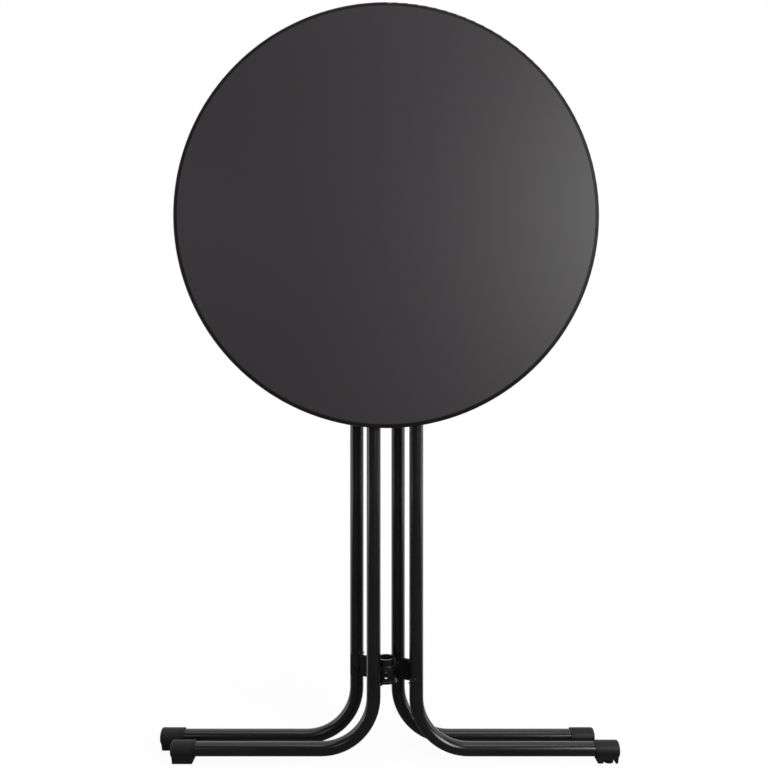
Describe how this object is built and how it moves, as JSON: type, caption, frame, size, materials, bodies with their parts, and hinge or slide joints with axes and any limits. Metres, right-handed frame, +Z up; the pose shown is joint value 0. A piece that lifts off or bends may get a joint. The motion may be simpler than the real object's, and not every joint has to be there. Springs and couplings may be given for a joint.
{
  "type": "folding bar table",
  "caption": "Round folding bar table on bent tube legs, stored flat: the top hangs upright, and the inner legs swing out to make a crossed base.",
  "frame": {"origin": "on the floor, under the middle of the folded table's bounding box", "axes": "+Z up, +Y to the rear, +X to the right; the upright board faces -Y"},
  "size_m": [0.892, 0.1105, 1.442],
  "materials": {
    "leg_paint": "gloss black powder coat",
    "cap_plastic": "matte black moulded",
    "board_face": "satin dark anthracite laminate",
    "edge_plastic": "satin dark edge",
    "core_board": "raw particle board",
    "zinc_steel": "zinc plated",
    "nylon": "natural nylon",
    "bumper_rubber": "matte black rubber"
  },
  "bodies": {
    "outer_frame": {"outer_leg_rear": "leg_paint", "outer_leg_front": "leg_paint", "hub_bracket": "leg_paint", "hub_bolts": "zinc_steel", "hub_nuts": "zinc_steel", "head_plate": "leg_paint", "head_cheeks": "leg_paint", "cross_tube": "leg_paint", "cross_tube_plugs": "cap_plastic", "lock_quadrant": "leg_paint", "pivot_bolt": "zinc_steel", "pivot_nut": "zinc_steel", "thrust_washer": "nylon", "foot_cap_rear_left": "cap_plastic", "foot_cap_front_right": "cap_plastic", "leveller_nut": "zinc_steel"},
    "inner_frame": {"inner_leg_front": "leg_paint", "inner_leg_rear": "leg_paint", "hub_sleeve": "leg_paint", "hub_plate_upper": "leg_paint", "hub_plate_lower": "leg_paint", "hub_washers": "nylon", "inner_head_plate": "leg_paint", "foot_cap_front_left": "cap_plastic", "foot_cap_rear_right": "cap_plastic"},
    "table_top": {"board_core": "core_board", "top_laminate": "board_face", "backing_laminate": "board_face", "edge_trim": "edge_plastic", "hinge_bracket_left": "leg_paint", "hinge_bracket_right": "leg_paint", "hinge_bushes": "nylon", "bracket_screws": "zinc_steel", "lock_housing": "leg_paint", "lock_housing_screws": "zinc_steel", "rest_bumper": "bumper_rubber", "bumper_screw": "zinc_steel"},
    "lock_bolt": {"lock_bolt": "zinc_steel", "lock_knob": "cap_plastic"},
    "leveller": {"leveller_stud": "zinc_steel", "leveller_glide": "cap_plastic"}
  },
  "joints": [
    {"name": "leg_swing", "type": "hinge", "parent": "outer_frame", "child": "inner_frame", "pos_m": [0, 0.01175, 0.1], "axis": [0, 0, 1], "range_deg": [0, 90]},
    {"name": "top_tilt", "type": "hinge", "parent": "outer_frame", "child": "table_top", "pos_m": [0, 0.01175, 1.042], "axis": [-1, 0, 0], "range_deg": [0, 90]},
    {"name": "lock_slide", "type": "slide", "parent": "table_top", "child": "lock_bolt", "axis": [-1, 0, 0], "range_m": [0, 0.008]},
    {"name": "leveller_turn", "type": "hinge", "parent": "outer_frame", "child": "leveller", "pos_m": [0.426, -0.01575, 0], "axis": [0, 0, 1], "range_deg": [0, 2160.5]}
  ]
}
